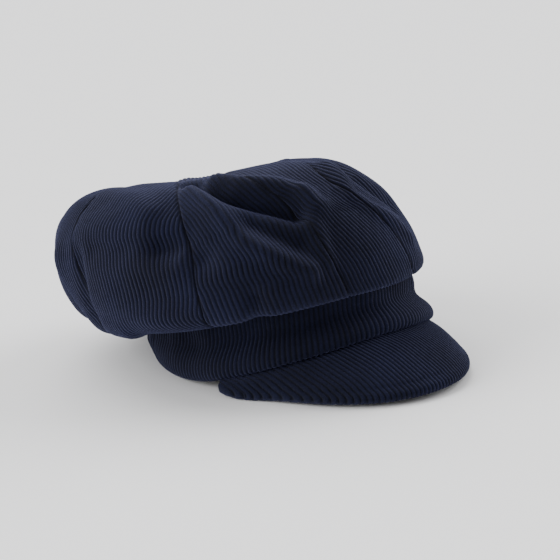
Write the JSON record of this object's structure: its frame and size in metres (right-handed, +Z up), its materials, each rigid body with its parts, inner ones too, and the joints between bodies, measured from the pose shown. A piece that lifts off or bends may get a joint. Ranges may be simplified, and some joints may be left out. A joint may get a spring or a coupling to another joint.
{
  "type": "newsboy cap",
  "caption": "Soft baker-boy cap: puffed gored crown flopped to the back and one side, upright band, drooping curved peak, lined inside.",
  "frame": {"origin": "centre of the bounding box at table height, the cap standing on its peak and the back of its rim", "axes": "+Z up, -Y toward the peak, +X toward the wearer's left"},
  "size_m": [0.23, 0.3494, 0.138],
  "materials": {
    "crown_cloth": "matt wide-rib cotton corduroy",
    "band_cloth": "matt wide-rib cotton corduroy",
    "peak_cloth": "matt wide-rib cotton corduroy",
    "lining_cloth": "smooth woven lining",
    "board": "matt",
    "backing": "stiff non-woven",
    "elastic": "woven elastic",
    "sweatband_tape": "ribbed grosgrain"
  },
  "bodies": {
    "root": {"crown_gore_1": "crown_cloth", "crown_gore_2": "crown_cloth", "crown_gore_3": "crown_cloth", "crown_gore_4": "crown_cloth", "crown_gore_5": "crown_cloth", "crown_gore_6": "crown_cloth", "crown_gore_7": "crown_cloth", "crown_gore_8": "crown_cloth", "lining_gore_1": "lining_cloth", "lining_gore_2": "lining_cloth", "lining_gore_3": "lining_cloth", "lining_gore_4": "lining_cloth", "lining_gore_5": "lining_cloth", "lining_gore_6": "lining_cloth", "lining_gore_7": "lining_cloth", "lining_gore_8": "lining_cloth", "band_front": "band_cloth", "band_back": "band_cloth", "peak_top_cover": "peak_cloth", "peak_under_cover": "peak_cloth", "peak_board": "board", "band_interfacing": "backing", "back_elastic": "elastic", "sweatband": "sweatband_tape"}
  },
  "joints": []
}
